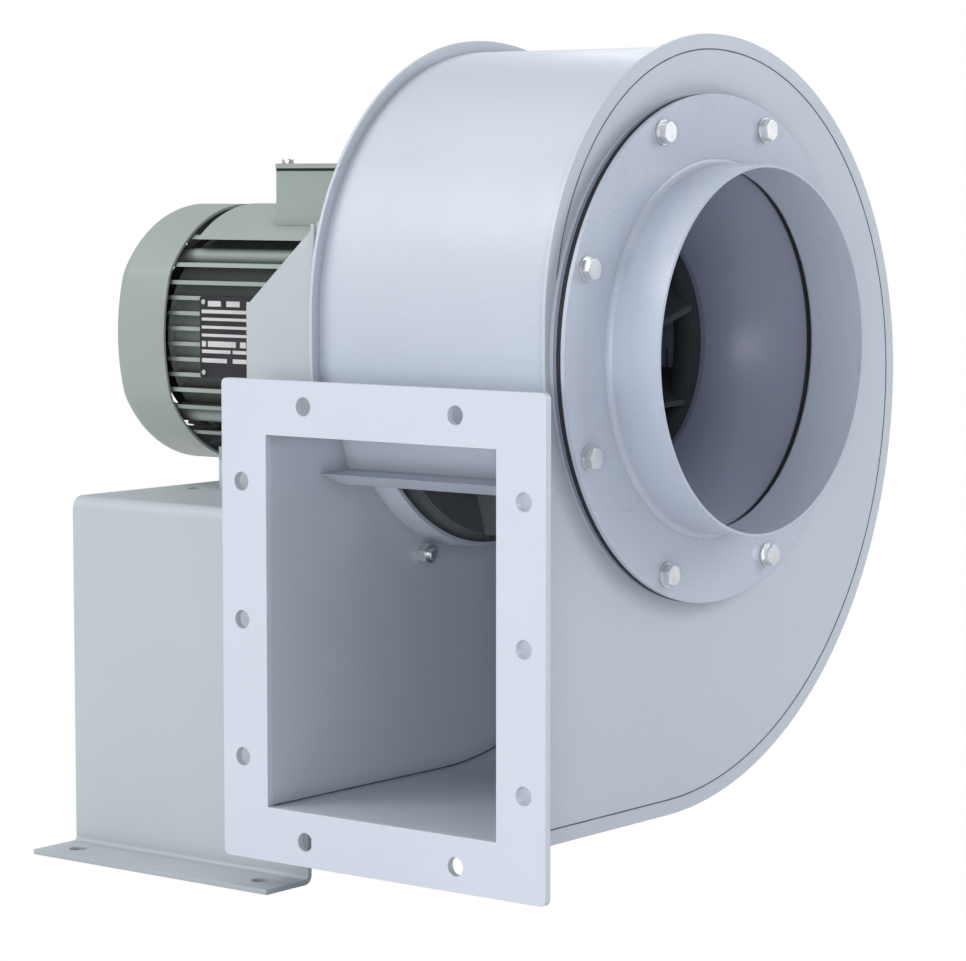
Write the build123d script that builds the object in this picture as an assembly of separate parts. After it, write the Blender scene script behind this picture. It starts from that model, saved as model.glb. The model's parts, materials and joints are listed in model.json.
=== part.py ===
from build123d import *
import os
from math import asin, atan2, cos, degrees, hypot, radians, sin, sqrt

# Centrifugal fan: a spiral sheet housing hung on the end of a folded pedestal,
# with a backward bladed wheel carried on the shaft of a finned foot motor.
# Millimetres. Origin: middle of the four floor holes, at floor level.
# +X runs along the shaft from the motor to the inlet, the outlet looks along -Y, +Z is up.

# Pedestal: one folded sheet with feet turned outwards
pedestal_sheet = 3.5
floor_clearance = 23.6
riser_height = 21.7
pedestal_half_width = 178.5
floor_hole_end = 23.0
foot_reach = 42.5
top_bend = 9.0
foot_bend = 3.0
floor_hole_spacing_x = 173.2
floor_hole_edge = 21.0
floor_hole_radius = 6.25
spare_hole_radius = 7.0
spare_hole_end = 29.1
spare_hole_y = 80.0

# Upright plates that tie the housing to the pedestal
mounting_plate_thickness = 5.0
mounting_plate_edge = 13.4
mounting_plate_drop = 79.4
gusset_thickness = 3.5
gusset_half_width = 164.0
gusset_length = 66.1
gusset_low_corner = 138.2
gusset_high_corner = 197.2

# Housing, with its sizes from the inside faces
sheet = 2.5
drive_inner_x = 113.0
duct_width = 192.0
scroll_ring_gap = 6.9
scroll_floor = 302.0
arc_shift = 13.0
top_left_centre = 23.0
middle_centre = -26.0
lip_width = 10.5
roof_underside = -53.8
roof_overlap = 19.0
cutoff_lean = 10.6
cutoff_reach = 2.5
cutoff_tip_z = -84.6
cutoff_tail_length = 19.3
cutoff_tail_drop = 7.0
cutoff_notch_gap = 2.0
cutoff_notch_height = 20.0

# Outlet flange of angle bar
outlet_reach = 57.5
flange_side_leg = 39.0
flange_end_leg = 36.4
angle_thickness = 5.0
angle_depth = 39.0
flange_corner = 4.0
duct_hole_radius = 6.25
end_hole_edge = 16.6
end_hole_spacing = 126.7
side_hole_edge = 17.3
side_hole_spacing = 92.3

# Ring of eight fasteners, the same on both sides of the housing
ring_bolts = 8
ring_turn = 1.3
ring_bolt_edge = 13.0
bolt_radius = 4.0
bolt_hole_radius = 4.5
bolt_flats = 13.0
bolt_head = 5.3
bolt_tip = 0.8
hex_chamfer = 0.6
nut_height = 6.5
washer_radius = 8.4
washer_thickness = 1.6
thread_left_over = 3.0

# Inlet
ring_width = 43.1
ring_thickness = 3.0
gasket_thickness = 3.5
plate_mouth_step = 4.5
gasket_mouth_step = 2.5
collar_inner_radius = 121.5
collar_wall = 2.0
collar_length = 40.0
collar_outer_bend = 4.0
collar_inner_bend = 3.0
throat_radius = 84.0
throat_depth = 51.0
throat_length = 4.0
cone_mouth_step = 1.5
cone_bulge = 7.0

# Ring round the opening on the drive side
drive_mouth_edge = 14.1
inner_ring_step = 3.5
inner_ring_height = 18.5
inner_ring_taper = 2.0
inner_ring_wall = 3.0

# Wheel
wheel_radius = 136.7
backplate_gap = 27.0
backplate_thickness = 3.0
blade_count = 8
blade_thickness = 3.0
blade_root_radius = 72.0
blade_root_angle = 0.6
blade_sweep = 34.3
blade_slant_length = 42.0
blade_front_gap = 4.0
shroud_sheet = 2.5
shroud_gap = 2.0
shroud_collar_length = 10.0
shroud_collar_gap = 8.0
shroud_length = 42.0
hub_radius = 24.0
hub_flange_radius = 45.0
hub_flange_thickness = 8.0
hub_gap = 5.5
hub_nose_radius = 20.0
hub_chamfer = 2.0
wheel_washer_radius = 16.0
rivet_count = 6
rivet_circle = 36.0
rivet_radius = 3.0
set_screw_radius = 3.0
fit = 0.02

# Motor shaft
shaft_extension_radius = 7.94
shaft_extension = 47.6
shaft_body_radius = 14.0
key_width = 4.76
key_length = 22.0
key_depth = 2.4
shaft_hole_gap = 4.06

# Motor frame, centred on the shaft line
motor_face_gap = 12.5
motor_foot_height = 88.9
foot_hole_back = 69.85
foot_hole_spacing_x = 76.2
foot_hole_spacing_y = 124.0
foot_thickness = 10.0
foot_width = 38.0
foot_inner_y = 42.0
foot_end_margin = 11.0
foot_leg_width = 12.0
leg_outer_inset = (22.0, 24.0)
leg_inner_inset = (40.0, 14.0)
frame_length = 186.0
motor_face_step = 20.0
frame_core_radius = 74.0
frame_wall = 6.0
fin_thickness = 3.0
fin_reach = 18.5
fin_side_reach = 7.0
fin_first = 5.6
fin_pitch = 11.15
fins_per_side = 4
outer_fin_drops = (22.2, 2.4)
crown_rise = 22.0
crown_wall = 6.0
crown_setback = 16.0
crown_rib_y = 36.0
boss_radius = 7.0
boss_rise = 6.0

# End bells of the motor
drive_bell_rim = 8.0
drive_bell_slope = 6.0
drive_bell_shoulder = 44.0
drive_bell_boss = 38.0
rear_bell_rim = 6.0
rear_bell_slope = 3.0
rear_bell_shoulder = 34.0
rear_bell_boss = 28.0
bearing_ledge = 3.0
bell_bore_gap = 1.0
bell_bolt_flats = 10.0
bell_bolt_head = 4.0

# Fan cowl over the cooling fan
cowl_length = 52.0
cowl_lap = 5.0
cowl_screw_edge = 15.5
cowl_side_gap = 9.5
cowl_side_curve = 159.0
cowl_corner = 30.0
cowl_sheet = 2.0
cowl_edge = 10.0
grille_depth = 42.0
grille_pitch = 13.0
grille_rings = 4
grille_slot = 7.0
grille_spokes = 6
grille_spoke_width = 8.0
post_radius = 5.5
post_hole_depth = 10.0
screw_end_gap = 1.0
screw_head_round = 1.0

# Bearings
drive_bearing_bore = 10.0
drive_bearing_outside = 23.5
drive_bearing_width = 14.0
rear_bearing_bore = 8.5
rear_bearing_outside = 20.0
rear_bearing_width = 12.0
ball_count = 8
ball_share = 0.3
shoulder_share = 0.5
running_fit = 0.05

# Windings and rotor
stack_setback = 50.0
stack_length = 96.0
stator_depth = 26.0
air_gap = 0.4
winding_overhang = 22.0
winding_inner_step = 5.0
winding_outer_step = 4.0
winding_round = 5.0
cage_ring_length = 9.0
cage_ring_step = 12.0
cage_step = 1.0

# Cooling fan
fan_gap = 7.0
fan_length = 24.0
fan_tip_gap = 8.0
fan_blades = 7
fan_hub_radius = 15.0
fan_web_thickness = 3.0
fan_seat_radius = 7.5

# Connection box
box_setback = 81.0
box_length = 94.0
box_half_depth = 52.0
box_rise = 23.6
box_wall = 3.0
box_gasket = 2.0
lid_thickness = 3.4
lid_overhang = 1.5
lid_corner = 4.0
lid_screw_radius = 2.5
lid_screw_head = 4.2
lid_screw_height = 3.6
lid_screw_inset = 6.0
lid_screw_length = 12.0
entry_radius = 11.0
entry_drop = 15.6

# Rating plate, bare
plate_setback = 33.0
plate_length = 82.0
plate_half_height = 29.5
plate_thickness = 1.0
plate_corner = 2.0
plate_rivet_radius = 1.8
plate_rivet_height = 0.8
plate_rivet_inset = 4.0

# Shaft seal
felt_thickness = 4.0
felt_width = 16.06
felt_gap = 0.3
retainer_thickness = 2.0
retainer_edge = 7.0
seal_screw_step = 7.0
seal_screw_radius = 2.0

# Worked out from the sizes above
drive_side_x = drive_inner_x - sheet
inlet_side_x = drive_inner_x + duct_width
housing_right = inlet_side_x + sheet
ring_bore_radius = collar_inner_radius + collar_wall + collar_outer_bend
ring_radius = ring_bore_radius + ring_width
ring_bolt_circle = ring_radius - ring_bolt_edge
scroll_left = ring_bolt_circle + scroll_ring_gap
shaft_height = scroll_floor + flange_end_leg + floor_clearance
pedestal_height = shaft_height - motor_foot_height - riser_height
pedestal_top = pedestal_height - shaft_height
floor_level = -shaft_height
pedestal_left = -floor_hole_spacing_x / 2 - floor_hole_end
floor_hole_spacing_y = 2 * (pedestal_half_width + foot_reach - floor_hole_edge)
spare_hole_x = pedestal_left + spare_hole_end
mounting_plate_radius = ring_bolt_circle + mounting_plate_edge
mounting_plate_x = drive_side_x - mounting_plate_thickness
duct_height = scroll_floor + roof_underside
flange_left = drive_inner_x - flange_side_leg
flange_width = duct_width + 2 * flange_side_leg
flange_bottom = -scroll_floor - flange_end_leg
flange_height = duct_height + 2 * flange_end_leg
flange_front = -scroll_left - outlet_reach
flange_back = flange_front + angle_depth
sheet_front = flange_front + angle_thickness
roof_top = roof_underside + sheet
top_left_radius = scroll_left + arc_shift
middle_radius = top_left_radius + top_left_centre - middle_centre
low_radius = scroll_floor + middle_centre
low_shift = arc_shift + middle_radius - low_radius
cone_flange_x = housing_right + ring_thickness
gasket_x = cone_flange_x + sheet
ring_back_x = gasket_x + gasket_thickness
ring_face_x = ring_back_x + ring_thickness
ring_angles = [360 / ring_bolts * (i + 0.5) + ring_turn for i in range(ring_bolts)]
cutoff_bolt = ring_bolts // 2
drive_angles = [ring_angles[i] for i in range(ring_bolts) if i != cutoff_bolt]
motor_face_x = drive_side_x - motor_face_gap
shaft_tip = motor_face_x + shaft_extension
motor_base = -motor_foot_height
foot_holes_x = (motor_face_x - foot_hole_back, motor_face_x - foot_hole_back - foot_hole_spacing_x)
corner_angles = (45, 135, 225, 315)
foot_left = foot_holes_x[1] - foot_end_margin
foot_right = foot_holes_x[0] + foot_end_margin
frame_right = motor_face_x - motor_face_step
drive_bearing_x = frame_right + 2.0
frame_left = frame_right - frame_length
rear_bearing_x = frame_left - rear_bearing_width
shroud_inner = throat_radius + sheet + shroud_gap
box_left = frame_left + box_setback
box_right = box_left + box_length
drive_bearing = (drive_bearing_x, drive_bearing_bore, drive_bearing_outside, drive_bearing_width)
rear_bearing = (rear_bearing_x, rear_bearing_bore, rear_bearing_outside, rear_bearing_width)
tail_angle = 180 + degrees(asin(-roof_underside / scroll_left))
roof_end = roof_overlap - scroll_left
cutoff_tip_y = -scroll_left - cutoff_reach
cutoff_tail_y = cutoff_tip_y + cutoff_tail_length
cutoff_tail_z = cutoff_tip_z - cutoff_tail_drop
plate_mouth_radius = collar_inner_radius + plate_mouth_step
gasket_mouth_radius = collar_inner_radius + gasket_mouth_step
cone_mouth_radius = collar_inner_radius + cone_mouth_step
throat_x = inlet_side_x - throat_depth
drive_mouth_radius = ring_bolt_circle - drive_mouth_edge
inner_ring_foot = drive_mouth_radius + inner_ring_step
backplate_x = drive_inner_x + backplate_gap
shroud_collar_x = throat_x - shroud_collar_gap
blade_slant_x = shroud_collar_x - blade_slant_length
blade_front_x = shroud_collar_x - blade_front_gap
shroud_tip_x = shroud_collar_x - shroud_length
hub_drive_end = drive_side_x + hub_gap
frame_bore_radius = frame_core_radius - frame_wall
fin_envelope_radius = frame_core_radius + fin_reach
fin_envelope_flat = frame_core_radius + fin_side_reach
outer_fins = tuple(frame_core_radius - drop for drop in outer_fin_drops)
crown_radius = frame_core_radius + crown_rise
crown_left = frame_left + crown_setback
boss_circle = frame_core_radius + boss_rise
leg_outer_end = (frame_core_radius - leg_outer_inset[0], leg_outer_inset[1] - frame_core_radius)
leg_inner_end = (frame_core_radius - leg_inner_inset[0], leg_inner_inset[1] - frame_core_radius)
cowl_right = frame_left + cowl_lap
cowl_left = cowl_right - cowl_length
cowl_radius = boss_circle + cowl_screw_edge
cowl_half_width = fin_envelope_flat + cowl_side_gap
fan_radius = boss_circle - fan_tip_gap
grille_first = fan_radius - grille_depth
stack_left = frame_left + stack_setback
rotor_radius = frame_bore_radius - stator_depth
winding_inner = rotor_radius + winding_inner_step
winding_outer = frame_bore_radius - winding_outer_step
cage_ring_inner = shaft_body_radius + cage_ring_step
fan_left = cowl_left + fan_gap
box_top = crown_radius + box_rise
entry_height = box_top - entry_drop
plate_left = frame_left + plate_setback
felt_radius = shaft_extension_radius + felt_width
seal_screw_circle = felt_radius + seal_screw_step
retainer_radius = seal_screw_circle + retainer_edge
shaft_hole_radius = shaft_extension_radius + shaft_hole_gap

shaft_axis = Axis((0, 0, shaft_height), (1, 0, 0))
side_view = Plane(origin=(0, 0, shaft_height), x_dir=(1, 0, 0), z_dir=(0, -1, 0))


def across(x):
    """Plane square to the shaft: its own x runs along +Y and its own y along +Z."""
    return Plane(origin=(x, 0, shaft_height), x_dir=(0, 1, 0), z_dir=(1, 0, 0))


def slab(sketch, x_start, x_end):
    """A flat sketch seen along the shaft, made solid from one place to another on it."""
    return extrude(across(x_start) * sketch, amount=x_end - x_start)


def ring(x_start, x_end, outer, inner=0.0):
    """A disc or ring round the shaft."""
    sketch = Circle(outer)
    if inner > 0:
        sketch -= Circle(inner)
    return slab(sketch, x_start, x_end)


def turned(outline):
    """Turn a closed outline of edges or of (x, radius) points round the shaft."""
    if isinstance(outline[0], tuple):
        outline = Polyline(*outline, close=True)
    return revolve(side_view * make_face(outline), axis=shaft_axis)


def polar(radius, angle):
    """A place seen along the shaft, with the angle turning from +Y to +Z."""
    return (radius * cos(radians(angle)), radius * sin(radians(angle)))


def block(x_start, x_end, y_start, y_end, z_start, z_end):
    """A block between its faces, with heights from the shaft line."""
    box = Box(x_end - x_start, y_end - y_start, z_end - z_start, align=(Align.MIN,) * 3)
    return Pos(x_start, y_start, z_start + shaft_height) * box


def at(x, y, z):
    """A place with its height from the shaft line."""
    return Pos(x, y, z + shaft_height)


def upright_rod(radius, x, y, z_start, z_end):
    """A round rod standing along Z."""
    rod = Cylinder(radius, z_end - z_start, align=(Align.CENTER, Align.CENTER, Align.MIN))
    return at(x, y, z_start) * rod


def hex_prism(flats, height):
    """A chamfered hexagon from x = 0 to x = height, with a flat facing +Y."""
    prism = extrude(Plane.YZ * RegularPolygon(flats / 2, 6, major_radius=False, rotation=30), height)
    corner = flats / sqrt(3)
    slope = (corner - flats / 2) * hex_chamfer
    outline = Polyline((0, 0), (height, 0), (height, flats / 2), (height - slope, corner), (0, corner),
                       close=True)
    bell = revolve(Plane.XZ * make_face(outline), axis=Axis.X)
    return prism & bell


def bolt(length):
    """A hexagon bolt whose head seats at x = 0 and stands to +X, with its shank to -X."""
    shank = extrude(Plane.YZ * Circle(bolt_radius), -length)
    shank = chamfer(shank.edges().sort_by(Axis.X)[0], bolt_tip)
    return hex_prism(bolt_flats, bolt_head) + shank


def nut():
    """A hexagon nut from x = 0 to +X, loose enough to clear its thread."""
    hole = extrude(Plane.YZ * Circle(bolt_radius + fit), nut_height)
    return hex_prism(bolt_flats, nut_height) - hole


def ring_places(x, angles=ring_angles):
    """Places of the ring fasteners, each turned so that a flat faces the shaft."""
    places = []
    for angle in angles:
        y, z = polar(ring_bolt_circle, angle)
        places.append(at(x, y, z) * Rot(X=angle))
    return places


def ring_holes(angles=ring_angles):
    """The ring fastener holes, as seen along the shaft."""
    holes = Sketch()
    for angle in angles:
        holes += Pos(*polar(ring_bolt_circle, angle)) * Circle(bolt_hole_radius)
    return holes


def group(solids):
    """Separate solids of one kind, kept in one piece of the model."""
    return Compound(children=list(solids))


def pedestal():
    """Folded sheet: a top, two webs and two feet."""
    half, thick, top = pedestal_half_width, pedestal_sheet, pedestal_height
    reach = half + foot_reach
    outside = [(-reach, thick), (-half, thick), (-half, top), (half, top), (half, thick), (reach, thick)]
    inside = [(reach, 0), (half - thick, 0), (half - thick, top - thick)]
    inside += [(thick - half, top - thick), (thick - half, 0), (-reach, 0)]
    section = make_face(Polyline(*outside, *inside, close=True))
    corners = section.vertices()
    section = fillet(corners.filter_by(lambda v: v.Y > top - 0.1), top_bend)
    section = fillet(section.vertices().filter_by(
        lambda v: abs(v.Y - top + thick) < 0.1 and abs(abs(v.X) - half + thick) < 0.1), top_bend - thick)
    section = fillet(section.vertices().filter_by(
        lambda v: abs(v.Y - thick) < 0.1 and abs(abs(v.X) - half) < 0.1), foot_bend)
    section = fillet(section.vertices().filter_by(
        lambda v: abs(v.Y) < 0.1 and abs(abs(v.X) - half + thick) < 0.1), foot_bend + thick)
    floor_plane = Plane(origin=(pedestal_left, 0, 0), x_dir=(0, 1, 0), z_dir=(1, 0, 0))
    body = extrude(floor_plane * section, amount=drive_side_x - pedestal_left)
    side = gusset_half_width - gusset_thickness
    body -= block(mounting_plate_x, drive_side_x, -side, side, pedestal_top - thick, pedestal_top)
    for x in (-floor_hole_spacing_x / 2, floor_hole_spacing_x / 2):
        for y in (-floor_hole_spacing_y / 2, floor_hole_spacing_y / 2):
            body -= upright_rod(floor_hole_radius, x, y, floor_level, floor_level + pedestal_sheet)
    for x, y in motor_bolt_places():
        body -= upright_rod(bolt_hole_radius, x, y, pedestal_top - pedestal_sheet, pedestal_top)
    for y in (-spare_hole_y, spare_hole_y):
        body -= upright_rod(spare_hole_radius, spare_hole_x, y, pedestal_top - pedestal_sheet, pedestal_top)
    return body


def mounting_plate():
    """Plate closing the end of the pedestal; the housing bolts to it."""
    upper_width = 2 * (gusset_half_width - gusset_thickness)
    lower_width = 2 * (pedestal_half_width - pedestal_sheet)
    step = pedestal_top - pedestal_sheet
    above = Pos(0, mounting_plate_radius / 2) * Rectangle(upper_width, mounting_plate_radius)
    middle = Pos(0, step / 2) * Rectangle(upper_width, -step)
    lower_height = mounting_plate_drop - pedestal_sheet
    lower = Pos(0, step - lower_height / 2) * RectangleRounded(lower_width, lower_height, top_bend)
    sketch = (Circle(mounting_plate_radius) & above) + middle + lower
    sketch -= ring_holes(drive_angles) + Circle(shaft_hole_radius)
    for angle in corner_angles:
        sketch -= Pos(*polar(seal_screw_circle, angle)) * Circle(seal_screw_radius)
    return slab(sketch, mounting_plate_x, drive_side_x)


def gusset(side):
    """Upright plate on the pedestal that stiffens the mounting plate; side is -1 or 1."""
    left = drive_side_x - gusset_length
    top = pedestal_top + gusset_high_corner
    outline = Polyline((left, pedestal_top), (drive_side_x, pedestal_top), (drive_side_x, top),
                       (left, pedestal_top + gusset_low_corner), close=True)
    plate = extrude(side_view * make_face(outline), amount=gusset_thickness)
    shift = gusset_half_width if side > 0 else gusset_thickness - gusset_half_width
    return Pos(0, shift, 0) * plate


def scroll_edges(offset, front, tail):
    """Edges of the spiral at a distance outside its inner face, from the floor's front to the tail."""
    floor = -scroll_floor - offset
    left = -scroll_left - offset
    return [
        Line((front, floor), (low_shift, floor)),
        CenterArc((low_shift, middle_centre), low_radius + offset, -90, 90),
        CenterArc((arc_shift, middle_centre), middle_radius + offset, 0, 90),
        CenterArc((arc_shift, top_left_centre), top_left_radius + offset, 90, 90),
        Line((left, top_left_centre), (left, 0)),
        CenterArc((0, 0), scroll_left + offset, 180, tail - 180),
    ]


def scroll_band(inner, outer, front, tail):
    """Flat band between two offsets of the spiral, as seen along the shaft."""
    floor = -scroll_floor
    ends = [
        Line((front, floor - inner), (front, floor - outer)),
        Line(polar(scroll_left + inner, tail), polar(scroll_left + outer, tail)),
    ]
    return make_face(scroll_edges(inner, front, tail) + scroll_edges(outer, front, tail) + ends)


def scroll_wrapper():
    """The long curved sheet with a lip turned outwards along both edges; it ends on the roof."""
    body = slab(scroll_band(0, sheet, sheet_front, tail_angle), drive_side_x, housing_right)
    for x in (drive_side_x, inlet_side_x):
        lip = slab(scroll_band(sheet, lip_width, flange_back, tail_angle), x, x + sheet)
        body += lip
    return body - block(drive_side_x, housing_right, -2 * scroll_left, 0, -scroll_left, roof_top)


def side_plate_outline():
    """Outline of a side plate: inside the spiral, and forward to the outlet."""
    edges = scroll_edges(0, sheet_front, tail_angle)
    edges.append(Line(polar(scroll_left, tail_angle), (sheet_front, roof_underside)))
    edges.append(Line((sheet_front, roof_underside), (sheet_front, -scroll_floor)))
    return make_face(edges)


def drive_side_plate():
    """Side plate with the opening that the wheel passes through."""
    sketch = side_plate_outline() - Circle(drive_mouth_radius) - ring_holes(drive_angles)
    return slab(sketch, drive_side_x, drive_inner_x)


def inlet_side_plate():
    """Side plate with the inlet mouth."""
    sketch = side_plate_outline() - Circle(plate_mouth_radius) - ring_holes()
    return slab(sketch, inlet_side_x, housing_right)


def outlet_roof():
    """Sheet above the outlet, from the flange to the cutoff plate inside the spiral."""
    roof = block(drive_side_x, housing_right, sheet_front, -scroll_left / 2, roof_underside, roof_top)
    roof -= ring(drive_side_x, housing_right, scroll_left)
    return roof + block(drive_inner_x, inlet_side_x, -scroll_left, roof_end, roof_underside, roof_top)


def cutoff_lip():
    """Plate hung from the roof, notched for an inlet nut, and folded to a nose where the air divides."""
    plate_y = roof_end - sheet
    plate_foot = (plate_y + cutoff_lean, cutoff_tip_z + sheet)
    path = Polyline((plate_y, roof_underside), plate_foot,
                    (cutoff_tip_y, cutoff_tip_z + sheet / 2), (cutoff_tail_y, cutoff_tail_z))
    fold = make_face(offset(path, amount=sheet, side=Side.LEFT))
    nose = slab(fold, drive_inner_x, inlet_side_x)
    nose -= block(drive_inner_x, inlet_side_x, -scroll_left, 0, roof_underside, 0)
    notch_foot = roof_underside - cutoff_notch_height
    nut_room = nut_height + thread_left_over + cutoff_notch_gap
    return nose - block(inlet_side_x - nut_room, inlet_side_x, -scroll_left, 0, notch_foot, 0)


def outlet_flange():
    """Frame of angle bar round the outlet; its face covers the ends of the sheets."""
    face_plane = Plane(origin=(flange_left + flange_width / 2, flange_front, shaft_height + flange_bottom
                               + flange_height / 2), x_dir=(1, 0, 0), z_dir=(0, -1, 0))
    face = RectangleRounded(flange_width, flange_height, flange_corner) - Rectangle(duct_width, duct_height)
    for side in (-1, 1):
        for x in (-end_hole_spacing / 2, end_hole_spacing / 2):
            face -= Pos(x, side * (flange_height / 2 - end_hole_edge)) * Circle(duct_hole_radius)
        for z in (-side_hole_spacing, 0, side_hole_spacing):
            face -= Pos(side * (flange_width / 2 - side_hole_edge), z) * Circle(duct_hole_radius)
    legs_outside = sheet + angle_thickness
    legs = Rectangle(duct_width + 2 * legs_outside, duct_height + 2 * legs_outside)
    legs -= Rectangle(duct_width + 2 * sheet, duct_height + 2 * sheet)
    body = extrude(face_plane * face, amount=-angle_thickness)
    return body + extrude(face_plane * legs, amount=-angle_depth)


def inlet_backing_ring():
    """Ring welded round the mouth on the outside of the side plate."""
    sketch = Circle(ring_radius) - Circle(plate_mouth_radius) - ring_holes()
    return slab(sketch, housing_right, cone_flange_x)


def inlet_ring():
    """Flat bolting ring of the collar."""
    sketch = Circle(ring_radius) - Circle(ring_bore_radius) - ring_holes()
    return slab(sketch, ring_back_x, ring_face_x)


def inlet_collar():
    """Round collar with a short flared foot welded in the bolting ring."""
    outer = collar_inner_radius + collar_wall
    rim = ring_face_x + collar_length
    mouth = collar_inner_radius + collar_inner_bend
    return turned([
        Line((ring_back_x, ring_bore_radius), (ring_face_x, ring_bore_radius)),
        CenterArc((ring_face_x + collar_outer_bend, ring_bore_radius), collar_outer_bend, 180, 90),
        Line((ring_face_x + collar_outer_bend, outer), (rim, outer)),
        Line((rim, outer), (rim, collar_inner_radius)),
        Line((rim, collar_inner_radius), (ring_back_x + collar_inner_bend, collar_inner_radius)),
        CenterArc((ring_back_x + collar_inner_bend, mouth), collar_inner_bend, 180, 90),
        Line((ring_back_x, mouth), (ring_back_x, ring_bore_radius)),
    ])


def inlet_gasket():
    """Black ring pressed between the flange of the cone and the bolting ring."""
    sketch = Circle(ring_radius) - Circle(gasket_mouth_radius) - ring_holes()
    return slab(sketch, gasket_x, ring_back_x)


def inlet_cone():
    """Spun cone that leads the air from the mouth into the eye of the wheel."""
    throat = throat_x - throat_length
    middle_x = (gasket_x + throat_x) / 2
    middle_r = (cone_mouth_radius + throat_radius) / 2 - cone_bulge
    slant = sheet / sqrt(2)
    outline = [
        Line((gasket_x, ring_radius), (gasket_x, cone_mouth_radius)),
        ThreePointArc((gasket_x, cone_mouth_radius), (middle_x, middle_r), (throat_x, throat_radius)),
        Line((throat_x, throat_radius), (throat, throat_radius)),
        Line((throat, throat_radius), (throat, throat_radius + sheet)),
        Line((throat, throat_radius + sheet), (throat_x, throat_radius + sheet)),
        ThreePointArc((throat_x, throat_radius + sheet), (middle_x - slant, middle_r + slant),
                      (cone_flange_x, cone_mouth_radius + slant)),
        Line((cone_flange_x, cone_mouth_radius + slant), (cone_flange_x, ring_radius)),
        Line((cone_flange_x, ring_radius), (gasket_x, ring_radius)),
    ]
    return turned(outline) - slab(ring_holes(), cone_flange_x, gasket_x)


def inlet_bolts():
    """Eight bolts through the rings, the cone and the side plate, heads outside."""
    seat = ring_face_x + washer_thickness
    length = seat - inlet_side_x + nut_height + thread_left_over
    return group(place * bolt(length) for place in ring_places(seat))


def inlet_washers():
    """Washers under the bolt heads of the inlet ring."""
    washer = extrude(Plane.YZ * (Circle(washer_radius) - Circle(bolt_radius + fit)), washer_thickness)
    return group(place * washer for place in ring_places(ring_face_x))


def inlet_nuts():
    """Nuts on the inside of the inlet side plate."""
    return group(place * nut() for place in ring_places(inlet_side_x - nut_height))


def drive_bolts():
    """Seven bolts from the mounting plate into the housing; the place at the cutoff stays free."""
    length = mounting_plate_thickness + sheet + nut_height + thread_left_over
    return group(place * Rot(Z=180) * bolt(length) for place in ring_places(mounting_plate_x, drive_angles))


def drive_nuts():
    """Nuts inside the housing on the drive side."""
    return group(place * nut() for place in ring_places(drive_inner_x, drive_angles))


def drive_inner_ring():
    """Tapered ring welded round the opening on the drive side."""
    far = drive_inner_x + inner_ring_height
    return turned([
        (drive_inner_x, inner_ring_foot),
        (far, inner_ring_foot - inner_ring_taper),
        (far, inner_ring_foot - inner_ring_taper - inner_ring_wall),
        (drive_inner_x, inner_ring_foot - inner_ring_wall),
    ])


def shaft_seal_felt():
    """Felt ring round the shaft, against the mounting plate."""
    return ring(mounting_plate_x - felt_thickness, mounting_plate_x, felt_radius,
                shaft_extension_radius + felt_gap)


def seal_retainer():
    """Pressed cap that holds the felt ring on the mounting plate."""
    far = mounting_plate_x - felt_thickness - retainer_thickness
    body = ring(far, mounting_plate_x, felt_radius + retainer_thickness, felt_radius)
    body += ring(far, mounting_plate_x - felt_thickness, felt_radius + retainer_thickness, shaft_hole_radius)
    body += ring(mounting_plate_x - retainer_thickness, mounting_plate_x, retainer_radius, felt_radius)
    for angle in corner_angles:
        hole = Pos(*polar(seal_screw_circle, angle)) * Circle(seal_screw_radius)
        body -= slab(hole, mounting_plate_x - retainer_thickness, mounting_plate_x)
    return body


def seal_screws():
    """Four small screws that hold the felt retainer."""
    seat = mounting_plate_x - retainer_thickness
    screws = []
    for angle in corner_angles:
        place = Pos(*polar(seal_screw_circle, angle))
        shank = slab(place * Circle(seal_screw_radius - fit), seat, drive_side_x)
        head = slab(place * Circle(2 * seal_screw_radius), seat - seal_screw_radius, seat)
        screws.append(shank + head)
    return group(screws)


def wheel_backplate():
    """Flat round plate of the wheel."""
    sketch = Circle(wheel_radius) - Circle(hub_nose_radius + fit)
    for i in range(rivet_count):
        sketch -= Pos(*polar(rivet_circle, 360 / rivet_count * i)) * Circle(rivet_radius)
    return slab(sketch, backplate_x, backplate_x + backplate_thickness)


def shroud_arc(start_radius, thickness):
    """Curve of the shroud from its collar to its tip, set in by a thickness."""
    run = shroud_collar_x - shroud_tip_x
    rise = wheel_radius - start_radius
    radius = (run ** 2 + rise ** 2) / (2 * rise)
    centre = (shroud_collar_x, start_radius + radius)
    end = ((shroud_tip_x - centre[0]) / radius, (wheel_radius - centre[1]) / radius)
    reach = radius - thickness
    start = (shroud_collar_x, centre[1] - reach)
    finish = (centre[0] + end[0] * reach, centre[1] + end[1] * reach)
    return TangentArc(start, finish, tangent=(-1, 0)), start, finish


def wheel_shroud():
    """Curved front plate of the wheel with a short collar round the eye."""
    inner, inner_start, inner_end = shroud_arc(shroud_inner, 0)
    outer, outer_start, outer_end = shroud_arc(shroud_inner, shroud_sheet)
    lip = shroud_collar_x + shroud_collar_length
    outline = [
        inner,
        Line(inner_end, outer_end),
        outer,
        Line(outer_start, (lip, outer_start[1])),
        Line((lip, outer_start[1]), (lip, inner_start[1])),
        Line((lip, inner_start[1]), inner_start),
    ]
    return turned(outline)


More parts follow.
